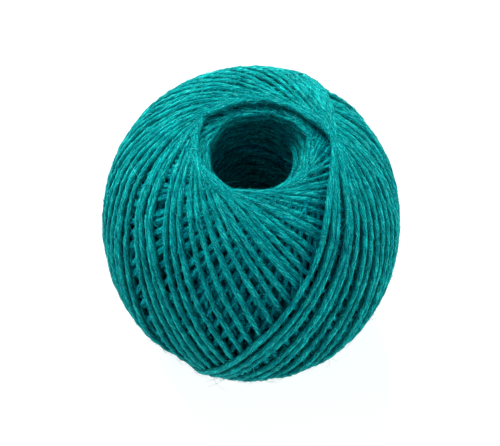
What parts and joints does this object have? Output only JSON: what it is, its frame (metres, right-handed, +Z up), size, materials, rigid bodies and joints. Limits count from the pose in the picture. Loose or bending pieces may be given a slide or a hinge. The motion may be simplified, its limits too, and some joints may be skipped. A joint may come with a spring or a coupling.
{
  "type": "ball of twine",
  "caption": "Ball of twine, wound crosswise round an open centre hole that runs right through it.",
  "frame": {"origin": "middle of the flat ring under the lower lip, on the axis of the centre hole", "axes": "+Z up along the centre hole; -Y towards the side where the turns laid last cross the middle of the ball"},
  "size_m": [0.089, 0.0906, 0.0863],
  "materials": {
    "twine": "teal dyed natural fibre, twisted, slightly hairy with a soft lustre"
  },
  "bodies": {
    "root": {"twine_ball": "twine"}
  },
  "joints": []
}
